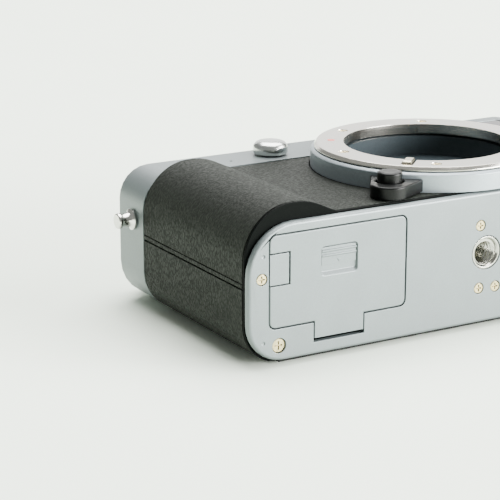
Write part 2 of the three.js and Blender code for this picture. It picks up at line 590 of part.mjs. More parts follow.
// ---- tripod socket and plate screws ----
let socket = join(
  box(BLOCK.x0, BLOCK.x1, bodyLow, BLOCK.top, BLOCK.z0, BLOCK.z1),
  disc('y', SOCKET_X, SOCKET_Z, SOCKET_MOUTH_R, 0.15, bodyLow + 0.1, 40),
);
socket = cut(
  socket,
  disc('y', SOCKET_X, SOCKET_Z, SOCKET_R, -1, 20, 40),
  turned('y', SOCKET_X, SOCKET_Z, [[0, SOCKET_MOUTH_R - 0.25], [0.8, SOCKET_R]], 40),
);
for (const [x, z] of plateScrews) socket = cut(socket, disc('y', x, z, SCREW_HOLE_R, 0, 7, 12));
piece('tripod_socket', socket, 'steel');
plateScrews.forEach(([x, z, r, deep], i) => {
  const screw = turned('y', x, z, [
    [deep, r - 0.15], [deep + 0.12, r], [deep + 0.3, r], [deep + 0.7, SCREW_SHANK_R], [5.5, SCREW_SHANK_R],
  ], 16);
  const bar = (a, b) => box(x - a, x + a, deep - 1, deep + 0.35, z - b, z + b);
  piece('plate_screw_' + (i + 1), cut(screw, bar(r * 0.62, 0.17), bar(0.17, r * 0.62)), 'steel');
});

// ---- top cover ----
const coverOutline = rectangle(0, BODY_W, REAR_Z, COVER_Z, [REAR_R, REAR_R, COVER_R, COVER_R], 6);
const raisedOutline = rectangle(STEP_X, BODY_W, REAR_Z, COVER_Z, [1.4, REAR_R, COVER_R, 1.4], 6);
const topped = (outline, y0, y1) => stack('y', [
  [y0, outline], [y1 - 0.9, outline], [y1 - 0.35, inset(outline, 0.2)], [y1 - 0.08, inset(outline, 0.5)],
  [y1, inset(outline, 0.9)],
]);
let cover = join(topped(coverOutline, COVER_Y, SHOULDER_Y), topped(raisedOutline, SHOULDER_Y - 4, RAISED_Y));
cover = cut(
  cover,
  prism('y', 40, SHOULDER_Y - COVER_WALL, inset(coverOutline, COVER_WALL)),
  prism('y', 60, RAISED_Y - COVER_WALL, inset(raisedOutline, COVER_WALL)),
  disc('z', MOUNT_X, MOUNT_Y, COLLAR_R + GAP, collarFoot - GAP, PAST_MOUNT, 56),
  disc('z', MOUNT_X, MOUNT_Y, boxR + GAP, 20, PAST_MOUNT, 48),
);

// Strap lugs: turned studs with a shank through the cover.
for (const [name, side, x] of [['strap_lug_grip', -1, 0], ['strap_lug_far', 1, BODY_W]]) {
  const lug = turned('x', LUG_Y, LUG_Z, [
    [x + side * -2.5, 1.0], [x + side * GAP, 1.0], [x + side * (GAP + 0.01), 2.65], [x + side * 0.9, 2.65],
    [x + side * 1.3, 1.9], [x + side * 2.9, 1.7], [x + side * 3.2, 1.5], [x + side * 3.6, 1.95],
    [x + side * (LUG_L - 0.3), 1.95], [x + side * LUG_L, 1.6],
  ], 18);
  cover = cut(cover, disc('x', LUG_Y, LUG_Z, 1.15, x - 3, x + 3, 20));
  piece(name, lug, 'steel');
}

// Front knob between grip and mount.
const KNOB = { x: 40.2, y: 58.2, r: 4.5, top: COVER_Z + 3.7 };
cover = cut(cover, disc('z', KNOB.x, KNOB.y, 2.15, 25, PAST_MOUNT, 24));
piece('front_knob', stack('z', [
  [COVER_Z - 2.2, circle(KNOB.x, KNOB.y, 2.0, 28)],
  [COVER_Z + GAP, circle(KNOB.x, KNOB.y, 2.0, 28)],
  [COVER_Z + GAP + 0.01, circle(KNOB.x, KNOB.y, KNOB.r - 0.1, 28)],
  [KNOB.top - 1.3, circle(KNOB.x, KNOB.y, KNOB.r, 28)],
  [KNOB.top - 0.5, circle(KNOB.x, KNOB.y, KNOB.r - 0.6, 28)],
  [KNOB.top, circle(KNOB.x, KNOB.y, KNOB.r - 1.8, 28)],
]), 'steel');

// Dials, collar and buttons on the top plate.
function dial(name, [x, z, r, h], look) {
  const y0 = SHOULDER_Y + GAP;
  cover = cut(cover, disc('y', x, z, 2.15, SHOULDER_Y - 4, SHOULDER_Y + 1, 24));
  piece(name, stack('y', [
    [SHOULDER_Y - 2.4, circle(x, z, 2.0, 36)],
    [y0, circle(x, z, 2.0, 36)],
    [y0 + 0.01, circle(x, z, r, 36)],
    [y0 + h - 0.5, circle(x, z, r, 36)],
    [y0 + h, circle(x, z, r - 0.5, 36)],
  ]), look);
}
dial('shutter_dial', TIME_DIAL, 'silver');
dial('exposure_dial', EV_DIAL, 'silver');
const collarY = SHOULDER_Y + GAP;
const power = cut(
  join(
    turned('y', SHUTTER_X, SHUTTER_Z, [[collarY, 6.3], [collarY + 2, 6.3], [collarY + 2.5, 5.8]], 40),
    prism('y', collarY, collarY + 1.8, rectangle(
      SHUTTER_X + 3.5, SHUTTER_X + 8.2, SHUTTER_Z - 1.5, SHUTTER_Z + 1.5, 0.9,
    )),
  ),
  disc('y', SHUTTER_X, SHUTTER_Z, 4.5, 50, 80, 36),
);
piece('power_collar', power, 'silver');
cover = cut(cover, disc('y', SHUTTER_X, SHUTTER_Z, 1.7, 60, 70, 20));
piece('shutter_button', stack('y', [
  [SHOULDER_Y - 2.0, circle(SHUTTER_X, SHUTTER_Z, 1.5, 24)],
  [SHOULDER_Y + 1.2, circle(SHUTTER_X, SHUTTER_Z, 1.5, 24)],
  [SHOULDER_Y + 1.21, circle(SHUTTER_X, SHUTTER_Z, 4.2, 24)],
  [SHOULDER_Y + 3.4, circle(SHUTTER_X, SHUTTER_Z, 4.2, 24)],
  [SHOULDER_Y + 3.8, circle(SHUTTER_X, SHUTTER_Z, 3.8, 24)],
  [SHOULDER_Y + 3.5, circle(SHUTTER_X, SHUTTER_Z, 2.6, 24)],
  [SHOULDER_Y + 3.4, circle(SHUTTER_X, SHUTTER_Z, 1.2, 24)],
]), 'steel');
const FN = { x: 26.3, z: 28, r: 2.2 };
cover = cut(cover, disc('y', FN.x, FN.z, FN.r + 0.25, 60, 70, 24));
piece('top_button', turned('y', FN.x, FN.z, [
  [SHOULDER_Y - 1.2, FN.r], [SHOULDER_Y + 0.5, FN.r], [SHOULDER_Y + 0.8, FN.r - 0.4],
], 24), 'silver');

// Accessory shoe on the raised top.
const shoeLow = RAISED_Y + GAP;
const [shoeW, shoeL, shoeH, shoeGap] = SHOE;
const shoeTop = shoeLow + 0.7 + shoeH + 0.9;
const shoeEnd = SHOE_Z + shoeL / 2;
const shoeSlot = (w, y0, y1) => rectangle(MOUNT_X - w / 2, MOUNT_X + w / 2, y0, y1);
piece('accessory_shoe', cut(
  prism('z', SHOE_Z - shoeL / 2, shoeEnd + 1, shoeSlot(shoeW + 2.4, shoeLow, shoeTop)),
  prism('z', -10, shoeEnd, shoeSlot(shoeW, shoeLow + 0.7, shoeLow + 0.7 + shoeH)),
  prism('z', -10, shoeEnd, shoeSlot(shoeGap, shoeLow + 0.7, 90)),
), 'steel');

// Viewfinder: front window, eyepiece, dioptre dial and the module between them.
const FINDER = { x: 110.5, y: 59.3 };
const WINDOW = [12, 7];
const EYE = [13, 8];
const DIOPTRE = { x: 96, r: 2.6 };
const finderFrame = ([w, h], grow, r) => rectangle(
  FINDER.x - w / 2 - grow, FINDER.x + w / 2 + grow, FINDER.y - h / 2 - grow, FINDER.y + h / 2 + grow, r,
);
const rimGrow = 1.8;
cover = cut(
  cover,
  prism('z', 25, 50, finderFrame(WINDOW, GAP, 1)),
  prism('z', -5, REAR_Z + 0.6, finderFrame([EYE[0] + 2, EYE[1] + 0.6], rimGrow, 2)),
  prism('z', -5, 5, finderFrame(EYE, GAP, 1)),
  disc('z', DIOPTRE.x, FINDER.y, DIOPTRE.r + GAP, -5, 5, 28),
);
piece('finder_window', stack('z', [
  [COVER_Z - 2.4, finderFrame(WINDOW, 0, 0.8)],
  [COVER_Z - 0.3, finderFrame(WINDOW, 0, 0.8)],
  [COVER_Z - 0.1, finderFrame(WINDOW, -0.2, 0.6)],
]), 'glass');
const eyeTube = (z0, z1, grow, r) => prism('z', z0, z1, finderFrame(EYE, grow, r));
piece('eyepiece', cut(
  join(eyeTube(REST_Z, REAR_Z + 0.3, rimGrow, 1.8), eyeTube(REAR_Z, 5, 0, 0.8)),
  eyeTube(-5, 10, -1.3, 0.6),
), 'rubber');
piece('dioptre_dial', turned('z', DIOPTRE.x, FINDER.y, [
  [REAR_Z - 0.4, DIOPTRE.r - 0.3], [REAR_Z - 0.1, DIOPTRE.r], [REAR_Z + 1.7, DIOPTRE.r],
], 28), 'black');
piece('finder_module', box(FINDER.x - 9, FINDER.x + 9, COVER_Y + 0.4, RAISED_Y - 2.2, 5.6, 29.8), 'black');
// Small microphone hole beside the grip.
const MIC = { x: 27.6, y: 56.4, r: 0.4, deep: 0.6 };
cover = cut(cover, disc('z', MIC.x, MIC.y, MIC.r, COVER_Z - MIC.deep, COVER_Z + 1, 12));
piece('top_cover', cover, 'silver');
const BOARD = { x0: 46, x1: BODY_W - 9, y0: 10, y1: 48, z: 9.2, thick: 1.2 };
piece('main_board', box(BOARD.x0, BOARD.x1, BOARD.y0, BOARD.y1, BOARD.z, BOARD.z + BOARD.thick), 'board');
piece('chassis', join(chassis, cut(
  join(ear(TAB[0] - 2.6, TAB[0] - 0.4), ear(TAB[1] + 0.4, TAB[1] + 2.6)),
  disc('x', hinge.y, hinge.z, hinge.r + 0.15, 0, BODY_W, 24),
)), 'black');

// ---- into the shared frame ----
const highest = Math.max(SHOULDER_Y + GAP + TIME_DIAL[3], shoeTop);
camera.position.set(-BODY_W / 2, -highest / 2, -REST_Z);
camera.updateMatrixWorld(true);

export default camera;
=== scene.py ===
"""Camera body lying on its back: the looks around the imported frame."""
import math

import bmesh
import bpy
from mathutils import Matrix, Vector


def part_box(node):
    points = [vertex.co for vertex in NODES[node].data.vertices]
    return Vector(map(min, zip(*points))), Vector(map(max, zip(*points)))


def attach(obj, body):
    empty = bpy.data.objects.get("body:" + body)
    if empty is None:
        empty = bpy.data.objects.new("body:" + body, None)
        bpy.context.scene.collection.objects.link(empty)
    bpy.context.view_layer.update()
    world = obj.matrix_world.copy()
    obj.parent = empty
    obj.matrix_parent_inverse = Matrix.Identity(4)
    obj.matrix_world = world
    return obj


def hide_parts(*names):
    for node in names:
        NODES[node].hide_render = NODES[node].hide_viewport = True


bl_info = {
    "name": "Camera body on its back",
    "version": (1, 0, 0),
    "blender": (4, 5, 0),
    "location": "View3D > Sidebar > Camera body",
    "description": "Builds the finished surfaces of an interchangeable-lens camera body",
    "category": "Object",
}

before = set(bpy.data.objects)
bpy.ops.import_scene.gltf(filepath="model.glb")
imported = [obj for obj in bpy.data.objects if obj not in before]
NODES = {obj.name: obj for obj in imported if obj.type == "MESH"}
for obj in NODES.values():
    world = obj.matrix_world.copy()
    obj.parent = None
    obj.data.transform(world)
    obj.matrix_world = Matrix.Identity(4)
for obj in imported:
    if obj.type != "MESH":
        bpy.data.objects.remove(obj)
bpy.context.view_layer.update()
MM = 0.001
ROOT = "camera_body"
# Corner of the bottom plate at the grip end and the rear: the zero of the body's own sizes.
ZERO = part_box("bottom_plate")[0]
# Upper edge of the latch's thumb plate above the rear edge of the bottom plate, in mm.
LATCH_PLATE_TOP = 25.1
# Axis of the tripod thread, along and across the bottom plate, in mm.
THREAD_AT = (66.0, 17.4)
# Length of a dial's shank under its head, in mm.
SHANK = 2.7
# Where the red dot sits on the lens ring: degrees round the lens axis from +X, and mm from the axis.
INDEX_TURN = 146
INDEX_RADIUS = 24.0
# Gold contacts inside the throat: how many, degrees between them, and mm from the lens axis.
CONTACTS = 10
CONTACT_STEP = 6.0
CONTACT_RADIUS = 18.5
# Where the camera stands and looks, in the body's own mm, and its lens in mm on 36 mm film width.
VIEW_FROM = (-198.9, -343.5, 141.2)
VIEW_TO = (0.41, 0, 27.46)
VIEW_LENS = 134.26


# ---- sizes and colours a user would change ----
def linear(code):
    """Linear RGB of an sRGB hex colour."""
    parts = [int(code[i:i + 2], 16) / 255 for i in (1, 3, 5)]
    return tuple(c / 12.92 if c <= 0.04045 else ((c + 0.055) / 1.055) ** 2.4 for c in parts)


def colour(label, code, what):
    return bpy.props.FloatVectorProperty(
        name=label, description=what, subtype="COLOR", size=3, min=0, max=1, default=linear(code))


def length(label, size, what):
    return bpy.props.FloatProperty(
        name=label, description=what, default=size * MM, min=0, precision=5, unit="LENGTH")


class CameraBodySizes(bpy.types.PropertyGroup):
    edge: length("Edge rounding", 0.12, "Rounding of the painted and moulded edges")
    leather_grain: length("Leather grain", 0.5, "Width of one pebble of the embossed leather")
    leather_depth: length("Leather depth", 0.12, "Depth of the creases between the pebbles")
    knurl_depth: length("Knurl depth", 0.22, "Depth of the ridges round the dials")
    thread_pitch: length("Thread pitch", 1.27, "Pitch of the tripod thread, 20 to the inch")
    index_dot: length("Index dot", 2.0, "Diameter of the red dot that marks where a lens goes in")


class CameraBodyColours(bpy.types.PropertyGroup):
    silver: colour("Silver paint", "#6A7273", "Satin silver lacquer of the metal shell")
    # The collar's lacquer is the shell's silver made brighter and bluer: a painted highlight for the light
    # falling on the collar.
    collar: colour("Collar lacquer", "#929CA1", "Brighter satin lacquer of the lens collar")
    black_paint: colour("Black paint", "#060807", "Satin black paint of the inner casting")
    leather: colour("Leather", "#171B16", "Pebbled black covering")
    plastic: colour("Black plastic", "#0C0D0D", "Moulded black controls")
    steel: colour("Steel", "#D4D1C8", "Turned stainless steel of the lens ring")
    screw: colour("Screw nickel", "#CDBD92", "Warm nickel plate of the small screws")
    rubber: colour("Rubber", "#1A1A1A", "Eyecup and terminal cover")
    index: colour("Index red", "#D8402C", "Enamel of the lens index dot")
    floor: colour("Floor", "#ECF6E8", "Pale table under the camera")


# ---- mesh helpers ----
def at(x, y, z):
    """A point of the body's own sizes, in mm, as a point of the frame in metres."""
    return ZERO + Vector((x, y, z)) * MM


def middle(node):
    low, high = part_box(node)
    return (low + high) / 2


def seat(point, axis):
    """Puts a piece's own origin on a point and its own Z along an axis."""
    return Matrix.Translation(point) @ Vector(axis).to_track_quat("Z", "Y").to_matrix().to_4x4()


def new_piece(name, bm, surface, body, stands_for=(), place=None, edge=0.0):
    """Links a finished mesh, in millimetres, as a piece that rides on a body."""
    bmesh.ops.recalc_face_normals(bm, faces=bm.faces)
    mesh = bpy.data.meshes.new(name)
    bm.to_mesh(mesh)
    bm.free()
    mesh.transform(Matrix.Diagonal((MM, MM, MM, 1)))
    mesh.transform(place or Matrix.Translation(ZERO))
    mesh.materials.append(surface)
    piece = bpy.data.objects.new(name, mesh)
    bpy.context.scene.collection.objects.link(piece)
    soften(piece, edge)
    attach(piece, body)
    if stands_for:
        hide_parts(*stands_for)
    return piece


def smooth_group(limit):
    """Geometry nodes that shade smooth across every edge flatter than the limit."""
    name = f"smooth_below_{limit}_degrees"
    if name in bpy.data.node_groups:
        return bpy.data.node_groups[name]
    tree = bpy.data.node_groups.new(name, "GeometryNodeTree")
    for way in ("INPUT", "OUTPUT"):
        tree.interface.new_socket("Geometry", in_out=way, socket_type="NodeSocketGeometry")
    start = add(tree, "NodeGroupInput")
    bare = add(tree, "GeometryNodeRemoveAttribute", {"Geometry": start.outputs[0], "Name": "custom_normal"})
    angle = add(tree, "GeometryNodeInputMeshEdgeAngle")
    flat = add(tree, "FunctionNodeCompare", {0: angle.outputs[0], 1: math.radians(limit)},
               operation="LESS_THAN")
    faces = add(tree, "GeometryNodeSetShadeSmooth", {"Geometry": bare.outputs[0], "Shade Smooth": True})
    edges = add(tree, "GeometryNodeSetShadeSmooth",
                {"Geometry": faces.outputs[0], "Shade Smooth": flat.outputs[0]}, domain="EDGE")
    add(tree, "NodeGroupOutput", {0: edges.outputs[0]})
    return tree


def soften(piece, edge, limit=34, cad=False):
    """Rounds the sharp edges of a piece and shades it smooth between them."""
    if cad:
        weld = piece.modifiers.new("weld", "WELD")
        weld.merge_threshold = 1e-6
        first = piece.modifiers.new("plain normals", "NODES")
        first.node_group = smooth_group(limit)
    if edge:
        if cad:
            flat = piece.modifiers.new("flat faces", "DECIMATE")
            flat.decimate_type = "DISSOLVE"
            flat.angle_limit = math.radians(0.4)
        bevel = piece.modifiers.new("edges", "BEVEL")
        bevel.width = edge
        bevel.segments = 2
        bevel.limit_method = "ANGLE"
        bevel.angle_limit = math.radians(limit)
        bevel.use_clamp_overlap = not cad
    last = piece.modifiers.new("shading", "NODES")
    last.node_group = smooth_group(limit)
    even = piece.modifiers.new("flat faces stay flat", "WEIGHTED_NORMAL")
    even.keep_sharp = True
    even.weight = 80


def dress(names, surface, edge=0.0, limit=34):
    """Gives CAD nodes their surface and their edges."""
    for name in names:
        node = NODES[name]
        for place in node.material_slots:
            place.material = surface
        soften(node, edge, limit, cad=True)


def turned(profile, steps=64, ridges=0, closed=False):
    """A turned mesh about Z: profile of (radius, height) or (radius, height, ridge depth), in mm."""
    bm = bmesh.new()
    rows = []
    for point in profile:
        radius, height = point[:2]
        depth = point[2] if len(point) > 2 else 0.0
        row = []
        for k in range(steps):
            turn = 2 * math.pi * k / steps
            r = radius - (depth if ridges and k % 4 in (2, 3) else 0.0)
            row.append(bm.verts.new((r * math.cos(turn), r * math.sin(turn), height)))
        rows.append(row)
    pairs = list(zip(rows, rows[1:]))
    if closed:
        pairs.append((rows[-1], rows[0]))
    for low, high in pairs:
        for k in range(steps):
            n = (k + 1) % steps
            bm.faces.new((low[k], low[n], high[n], high[k]))
    if not closed:
        bm.faces.new(list(reversed(rows[0])))
        bm.faces.new(rows[-1])
    return bm


def swept(outline, low, high, bm=None):
    """An outline of (y, z) points carried from low to high along X, in mm."""
    bm = bm or bmesh.new()
    near = [bm.verts.new((low, y, z)) for y, z in outline]
    far = [bm.verts.new((high, y, z)) for y, z in outline]
    bm.faces.new(near)
    bm.faces.new(far)
    for k in range(len(outline)):
        n = (k + 1) % len(outline)
        bm.faces.new((near[k], near[n], far[n], far[k]))
    return bm


# ---- material helpers ----
def add(tree, kind, inputs=(), **settings):
    """Adds a node, says what it is, and sets or links its inputs."""
    node = tree.nodes.new(kind)
    for name, value in settings.items():
        setattr(node, name, value)
    for key, value in dict(inputs).items():
        if isinstance(value, bpy.types.NodeSocket):
            tree.links.new(value, node.inputs[key])
        else:
            node.inputs[key].default_value = value
    return node


def rgba(c):
    return (*c, 1.0)


def surface(name, build):
    """The material of that name, made once."""
    if name in bpy.data.materials:
        return bpy.data.materials[name]
    mat = bpy.data.materials.new(name)
    mat.use_nodes = True
    tree = mat.node_tree
    tree.nodes.clear()
    where = add(tree, "ShaderNodeTexCoord")
    mm = add(tree, "ShaderNodeVectorMath", {0: where.outputs["Object"], "Scale": 1 / MM}, operation="SCALE")
    shader = build(tree, mm.outputs[0])
    add(tree, "ShaderNodeOutputMaterial", {"Surface": shader.outputs[0]})
    return mat


def ramp(tree, value, stops):
    """Colours or greys along a value: stops of (place, colour)."""
    node = add(tree, "ShaderNodeValToRGB", {"Fac": value})
    bar = node.color_ramp
    while len(bar.elements) < len(stops):
        bar.elements.new(0.5)
    for spot, (place, shade) in zip(bar.elements, stops):
        spot.position = place
        spot.color = rgba(shade) if isinstance(shade, tuple) else (shade, shade, shade, 1.0)
    return node.outputs[0]


def tone(c, by):
    return tuple(min(1.0, v * by) for v in c)


def painted_edge_highlight(tree, inner, outer, reach):
    """Painted highlight: blends towards the lighter outer colour on rounded edges."""
    # The edge mask comes from the rounded normal, not from rubbing: this is painted light on the edges.
    where = add(tree, "ShaderNodeNewGeometry")
    round_off = add(tree, "ShaderNodeBevel", {"Radius": 0.2 * MM}, samples=4)
    lean = add(tree, "ShaderNodeVectorMath", {0: where.outputs["Normal"], 1: round_off.outputs[0]},
               operation="DOT_PRODUCT")
    edge = add(tree, "ShaderNodeMapRange", {
        "Value": lean.outputs["Value"], "From Min": 0.98, "From Max": 0.8, "To Max": reach})
    return add(tree, "ShaderNodeMix", {
        "Factor": edge.outputs[0], 6: inner, 7: rgba(outer)}, data_type="RGBA").outputs[2]


# ---- materials ----
def silver_paint(name="satin_silver_lacquer", shade=None):
    """Satin silver lacquer sprayed on a magnesium casting: soft sheen, tiny flakes, no brush lines."""
    c = shade or tuple(bpy.context.scene.camera_body_colours.silver)

    def build(tree, mm):
        # Flakes are about 0.03 mm across, drawn 0.16 mm so that they show.
        flake = add(tree, "ShaderNodeTexVoronoi", {"Vector": mm, "Scale": 1 / 0.16}, feature="F1")
        cloud = add(tree, "ShaderNodeTexNoise", {"Vector": mm, "Scale": 1 / 9.0, "Detail": 3.0})
        peel = add(tree, "ShaderNodeTexNoise", {"Vector": mm, "Scale": 1 / 0.45, "Detail": 2.0})
        sparkle = ramp(tree, flake.outputs["Color"], [(0.1, tone(c, 0.93)), (0.9, tone(c, 1.07))])
        broad = ramp(tree, cloud.outputs["Fac"], [(0.3, 0.96), (0.7, 1.04)])
        base = add(tree, "ShaderNodeMix", {"Factor": 1.0, 6: sparkle, 7: broad},
                   data_type="RGBA", blend_type="MULTIPLY").outputs[2]
        rough = add(tree, "ShaderNodeMapRange", {
            "Value": peel.outputs["Fac"], "To Min": 0.36, "To Max": 0.47})
        bump = add(tree, "ShaderNodeBump", {
            "Strength": 0.12, "Distance": 0.02 * MM, "Height": peel.outputs["Fac"]})
        # Rounded edges get a painted highlight, lighter than the lacquer.
        return add(tree, "ShaderNodeBsdfPrincipled", {
            "Base Color": painted_edge_highlight(tree, base, tone(c, 1.12), 0.35), "Metallic": 0.45,
            "Roughness": rough.outputs[0], "Normal": bump.outputs[0]})
    return surface(name, build)


def black_paint():
    """Satin black baked paint on the alloy casting: dense black with a low even sheen."""
    c = tuple(bpy.context.scene.camera_body_colours.black_paint)

    def build(tree, mm):
        # Paint grain of about 0.1 mm, drawn 0.25 mm.
        grain = add(tree, "ShaderNodeTexNoise", {"Vector": mm, "Scale": 1 / 0.25, "Detail": 3.0})
        base = ramp(tree, grain.outputs["Fac"], [(0.3, tone(c, 0.8)), (0.7, tone(c, 1.2))])
        rough = add(tree, "ShaderNodeMapRange", {
            "Value": grain.outputs["Fac"], "To Min": 0.42, "To Max": 0.6})
        bump = add(tree, "ShaderNodeBump", {
            "Strength": 0.2, "Distance": 0.02 * MM, "Height": grain.outputs["Fac"]})
        # Rounded edges get a painted highlight: the black is lightened towards grey there.
        return add(tree, "ShaderNodeBsdfPrincipled", {
            "Base Color": painted_edge_highlight(tree, base, tone(c, 3.0), 0.2), "Roughness": rough.outputs[0],
            "Specular IOR Level": 0.02, "Normal": bump.outputs[0]})
    return surface("satin_black_alloy_paint", build)


def leather():
    """Embossed black leather glued on: pebbles drawn out round the body, glossy crests, painted shade in the
    creases and painted highlight on the crests.
    """
    sizes = bpy.context.scene.camera_body_sizes
    c = tuple(bpy.context.scene.camera_body_colours.leather)

    def build(tree, mm):
        grain = sizes.leather_grain / MM
        drawn = add(tree, "ShaderNodeMapping", {"Vector": mm, "Scale": (0.34, 1.0, 0.34)})
        sway = add(tree, "ShaderNodeTexNoise", {
            "Vector": drawn.outputs[0], "Scale": 0.8 / grain, "Detail": 2.0})
        centred = add(tree, "ShaderNodeVectorMath", {0: sway.outputs["Color"], 1: (0.5, 0.5, 0.5)},
                      operation="SUBTRACT")
        shift = add(tree, "ShaderNodeVectorMath", {0: centred.outputs[0], "Scale": 1.5 * grain},
                    operation="SCALE")
        moved = add(tree, "ShaderNodeVectorMath", {0: drawn.outputs[0], 1: shift.outputs[0]})
        cells = add(tree, "ShaderNodeTexVoronoi", {
            "Vector": moved.outputs[0], "Scale": 1 / grain}, feature="DISTANCE_TO_EDGE")
        fine = add(tree, "ShaderNodeTexNoise", {"Vector": mm, "Scale": 1 / 0.22, "Detail": 3.0})
        crown = add(tree, "ShaderNodeMapRange", {
            "Value": cells.outputs["Distance"], "From Max": 0.28}, interpolation_type="SMOOTHSTEP")
        height = add(tree, "ShaderNodeMath", {0: fine.outputs["Fac"], 1: 0.3, 2: crown.outputs[0]},
                     operation="MULTIPLY_ADD")
        # Painted shade and highlight: the creases are coloured darker and the crests lighter than the
        # leather.
        base = ramp(tree, crown.outputs[0], [(0.0, tone(c, 0.6)), (0.35, tone(c, 0.9)), (1.0, tone(c, 1.15))])
        rough = add(tree, "ShaderNodeMapRange", {
            "Value": crown.outputs[0], "To Min": 0.75, "To Max": 0.52})
        bump = add(tree, "ShaderNodeBump", {
            "Strength": 0.6, "Distance": sizes.leather_depth, "Height": height.outputs[0]})
        return add(tree, "ShaderNodeBsdfPrincipled", {
            "Base Color": base, "Roughness": rough.outputs[0], "Specular IOR Level": 0.14,
            "Normal": bump.outputs[0]})
    return surface("embossed_black_leather", build)


def plastic(name="moulded_black_plastic", shade=None, roughness=0.45, sheen=0.16):
    """Moulded black polycarbonate with a spark-eroded grain: soft grey sheen on rounded edges."""
    c = shade or tuple(bpy.context.scene.camera_body_colours.plastic)

    def build(tree, mm):
        # Mould grain of about 0.08 mm, drawn 0.2 mm.
        grain = add(tree, "ShaderNodeTexNoise", {"Vector": mm, "Scale": 1 / 0.2, "Detail": 2.0})
        base = ramp(tree, grain.outputs["Fac"], [(0.35, tone(c, 0.85)), (0.65, tone(c, 1.15))])
        rough = add(tree, "ShaderNodeMapRange", {
            "Value": grain.outputs["Fac"], "To Min": roughness - 0.08, "To Max": roughness + 0.08})
        bump = add(tree, "ShaderNodeBump", {
            "Strength": 0.25, "Distance": 0.02 * MM, "Height": grain.outputs["Fac"]})
        return add(tree, "ShaderNodeBsdfPrincipled", {
            "Base Color": base, "Roughness": rough.outputs[0], "IOR": 1.5, "Specular IOR Level": sheen,
            "Normal": bump.outputs[0]})
    return surface(name, build)


def turned_metal(name, c, roughness, centre, axis="Z", pitch=0.18, depth=0.004):
    """Metal faced on a lathe: fine rings about an axis that stretch the highlights across them."""
    def build(tree, mm):
        # Tool marks of about 0.05 mm, drawn 0.18 mm.
        off = add(tree, "ShaderNodeVectorMath", {0: mm, 1: tuple(-v / MM for v in centre)})
        keep = {"X": (0, 1, 1), "Y": (1, 0, 1), "Z": (1, 1, 0)}[axis]
        flat = add(tree, "ShaderNodeVectorMath", {0: off.outputs[0], 1: keep}, operation="MULTIPLY")
        radius = add(tree, "ShaderNodeVectorMath", {0: flat.outputs[0]}, operation="LENGTH")
        marks = add(tree, "ShaderNodeTexNoise", {
            "W": radius.outputs["Value"], "Scale": 1 / pitch, "Detail": 2.0}, noise_dimensions="1D")
        stain = add(tree, "ShaderNodeTexNoise", {"Vector": mm, "Scale": 1 / 4.0, "Detail": 2.0})
        base = ramp(tree, marks.outputs["Fac"], [(0.3, tone(c, 0.9)), (0.7, tone(c, 1.05))])
        rough = add(tree, "ShaderNodeMapRange", {
            "Value": stain.outputs["Fac"], "To Min": roughness * 0.85, "To Max": roughness * 1.2})
        bump = add(tree, "ShaderNodeBump", {
            "Strength": 0.35, "Distance": depth * MM, "Height": marks.outputs["Fac"]})
        return add(tree, "ShaderNodeBsdfPrincipled", {
            "Base Color": base, "Metallic": 1.0, "Roughness": rough.outputs[0],
            "Normal": bump.outputs[0]})
    return surface(name, build)


def plated(name, c, roughness, painted_recess_shade=0.0):
    """Bright plated metal, tumbled before plating: mirror-like with faint clouding, and painted shade that
    darkens its recesses.
    """
    def build(tree, mm):
        cloud = add(tree, "ShaderNodeTexNoise", {"Vector": mm, "Scale": 1 / 0.7, "Detail": 3.0})
        base = ramp(tree, cloud.outputs["Fac"], [(0.3, tone(c, 0.88)), (0.7, tone(c, 1.05))])
        if painted_recess_shade:
            # Painted shade: the plating is darkened where the surface is hemmed in, as in the cross recesses.
            pit = add(tree, "ShaderNodeAmbientOcclusion", {"Distance": 0.5 * MM}, samples=6, only_local=True)
            painted_recess_tone = ramp(tree, pit.outputs["AO"], [(0.35, 1.0 - painted_recess_shade), (0.85, 1.0)])
            base = add(tree, "ShaderNodeMix", {"Factor": 1.0, 6: base, 7: painted_recess_tone},
                       data_type="RGBA", blend_type="MULTIPLY").outputs[2]
        rough = add(tree, "ShaderNodeMapRange", {
            "Value": cloud.outputs["Fac"], "To Min": roughness * 0.7, "To Max": roughness * 1.3})
        bump = add(tree, "ShaderNodeBump", {
            "Strength": 0.15, "Distance": 0.01 * MM, "Height": cloud.outputs["Fac"]})
        return add(tree, "ShaderNodeBsdfPrincipled", {
            "Base Color": base, "Metallic": 1.0, "Roughness": rough.outputs[0],
            "Normal": bump.outputs[0]})
    return surface(name, build)


def rubber():
    """Moulded synthetic rubber: dead matt with a dusty bloom."""
    c = tuple(bpy.context.scene.camera_body_colours.rubber)

    def build(tree, mm):
        dust = add(tree, "ShaderNodeTexNoise", {"Vector": mm, "Scale": 1 / 1.3, "Detail": 5.0})
        base = ramp(tree, dust.outputs["Fac"], [(0.35, tone(c, 0.8)), (0.75, tone(c, 1.7))])
        bump = add(tree, "ShaderNodeBump", {
            "Strength": 0.2, "Distance": 0.04 * MM, "Height": dust.outputs["Fac"]})
        return add(tree, "ShaderNodeBsdfPrincipled", {
            "Base Color": base, "Roughness": 0.82, "Specular IOR Level": 0.25,
            "Normal": bump.outputs[0]})
    return surface("moulded_rubber", build)


def glass(name, code, film=0.0, rough=0.04):
    """Polished cover glass over a dark body, with a thin coating that tints its reflections."""
    c = linear(code)

    def build(tree, mm):
        smear = add(tree, "ShaderNodeTexNoise", {"Vector": mm, "Scale": 1 / 7.0, "Detail": 4.0})
        deep = ramp(tree, smear.outputs["Fac"], [(0.3, tone(c, 0.9)), (0.7, tone(c, 1.15))])
        haze = add(tree, "ShaderNodeMapRange", {
            "Value": smear.outputs["Fac"], "To Min": rough, "To Max": rough + 0.06})
        return add(tree, "ShaderNodeBsdfPrincipled", {
            "Base Color": deep, "Roughness": haze.outputs[0], "IOR": 1.52,
            "Thin Film Thickness": film, "Thin Film IOR": 1.38})
    return surface(name, build)


